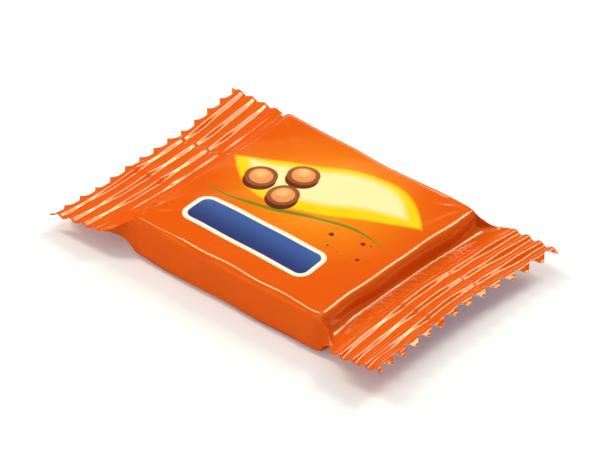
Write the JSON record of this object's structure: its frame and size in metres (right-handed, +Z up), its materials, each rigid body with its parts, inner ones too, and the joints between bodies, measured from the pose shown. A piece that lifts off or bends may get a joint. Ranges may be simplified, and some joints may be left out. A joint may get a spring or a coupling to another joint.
{
  "type": "mini chocolate bar in its flow wrap",
  "caption": "Small chocolate bar in a shut, glossy orange flow wrap with crimped, zigzag-cut end seals and a fin seam folded flat along the back.",
  "frame": {"origin": "under the middle of the pack, at the level that it lies on", "axes": "+X along the pack from one crimped end seal to the other, +Y across it, +Z up through the printed front"},
  "size_m": [0.054, 0.0346, 0.007],
  "materials": {
    "printed_film": "glossy printed wrapping film, orange, with fields of yellow, cream, navy, tan and brown"
  },
  "bodies": {
    "root": {"wrapped_bar": "printed_film"}
  },
  "joints": []
}
